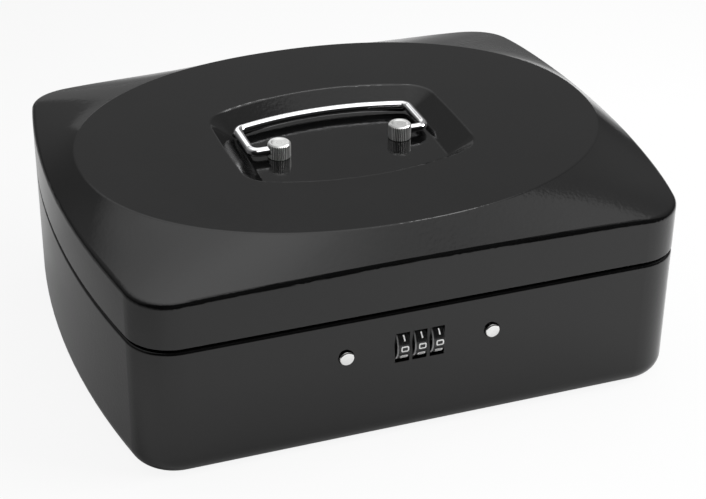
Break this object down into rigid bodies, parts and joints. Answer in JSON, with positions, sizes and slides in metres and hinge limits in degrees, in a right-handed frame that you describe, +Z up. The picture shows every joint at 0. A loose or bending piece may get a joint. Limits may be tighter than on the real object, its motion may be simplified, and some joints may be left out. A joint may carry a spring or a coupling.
{
  "type": "cash box",
  "caption": "Lockable steel cash box with bowed ends, a hinged lid with an oval crown, fold-down wire handle in a sunk pan, dial lock, push buttons and lift-out coin tray.",
  "frame": {"origin": "middle of the flat underside", "axes": "+X to the right along the front, +Y to the hinged back, +Z up"},
  "size_m": [0.25, 0.2056, 0.09],
  "materials": {
    "black_paint": "semi-gloss black stoving paint with a fine orange-peel",
    "chrome": "bright plated",
    "satin_steel": "satin, turned",
    "zinc_steel": "bright zinc plate",
    "spring_steel": "drawn wire and strip",
    "brass": "turned",
    "dial_plastic": "satin black",
    "case_plastic": "fine moulded grain",
    "tray_plastic": "fine moulded grain"
  },
  "bodies": {
    "base": {"base_shell": "black_paint", "hinge_rivets_base": "satin_steel", "lock_case": "case_plastic", "lock_cover": "zinc_steel", "lock_screws": "satin_steel", "lock_studs": "satin_steel", "lock_nuts": "satin_steel", "dial_shaft": "satin_steel", "gate_bar": "zinc_steel", "detent_spring": "spring_steel", "hinge_leaf_base_left": "zinc_steel", "hinge_leaf_base_right": "zinc_steel", "hinge_pin_left": "satin_steel", "hinge_pin_right": "satin_steel", "tray_rail_left": "zinc_steel", "tray_rail_right": "zinc_steel"},
    "lid": {"lid_shell": "black_paint", "lid_catch": "zinc_steel", "hinge_rivets_lid": "satin_steel", "hinge_leaf_lid_left": "zinc_steel", "hinge_leaf_lid_right": "zinc_steel", "handle_post_left": "satin_steel", "handle_post_right": "satin_steel", "post_screws": "satin_steel", "post_washers": "satin_steel"},
    "handle": {"carry_handle": "chrome"},
    "code_lever": {"code_lever": "case_plastic"},
    "tray": {"coin_tray": "tray_plastic"},
    "dial_left": {"dial_wheel_left": "dial_plastic", "clutch_sleeve_left": "brass"},
    "dial_middle": {"dial_wheel_middle": "dial_plastic", "clutch_sleeve_middle": "brass"},
    "dial_right": {"dial_wheel_right": "dial_plastic", "clutch_sleeve_right": "brass"},
    "button_left": {"push_button_left": "chrome", "latch_hook_left": "zinc_steel", "button_spring_left": "spring_steel"},
    "button_right": {"push_button_right": "chrome", "latch_hook_right": "zinc_steel", "button_spring_right": "spring_steel"}
  },
  "joints": [
    {"name": "lid_hinge", "type": "hinge", "parent": "base", "child": "lid", "pos_m": [0, 0.1019, 0.0593], "axis": [-1, 0, 0], "range_deg": [0, 100]},
    {"name": "handle_swing", "type": "hinge", "parent": "lid", "child": "handle", "pos_m": [0, -0.0013, 0.0852], "axis": [1, 0, 0], "range_deg": [0, 175]},
    {"name": "dial_turn_left", "type": "hinge", "parent": "base", "child": "dial_left", "pos_m": [-0.00875, -0.0936, 0.0421], "axis": [1, 0, 0], "continuous": true},
    {"name": "dial_turn_middle", "type": "hinge", "parent": "base", "child": "dial_middle", "pos_m": [-0.0013, -0.0936, 0.0421], "axis": [1, 0, 0], "continuous": true},
    {"name": "dial_turn_right", "type": "hinge", "parent": "base", "child": "dial_right", "pos_m": [0.00615, -0.0936, 0.0421], "axis": [1, 0, 0], "continuous": true},
    {"name": "button_press_left", "type": "slide", "parent": "base", "child": "button_left", "axis": [0, 1, 0], "range_m": [0, 0.0024], "stiffness_N_per_m": 500, "springref_m": -0.003, "deforming": ["button_spring_left"]},
    {"name": "button_press_right", "type": "slide", "parent": "base", "child": "button_right", "axis": [0, 1, 0], "range_m": [0, 0.0024], "stiffness_N_per_m": 500, "springref_m": -0.003, "deforming": ["button_spring_right"]},
    {"name": "code_lever_slide", "type": "slide", "parent": "base", "child": "code_lever", "axis": [1, 0, 0], "range_m": [0, 0.004]},
    {"name": "tray_lift", "type": "slide", "parent": "base", "child": "tray", "axis": [0, 0, 1], "range_m": [0, 0.016]}
  ]
}
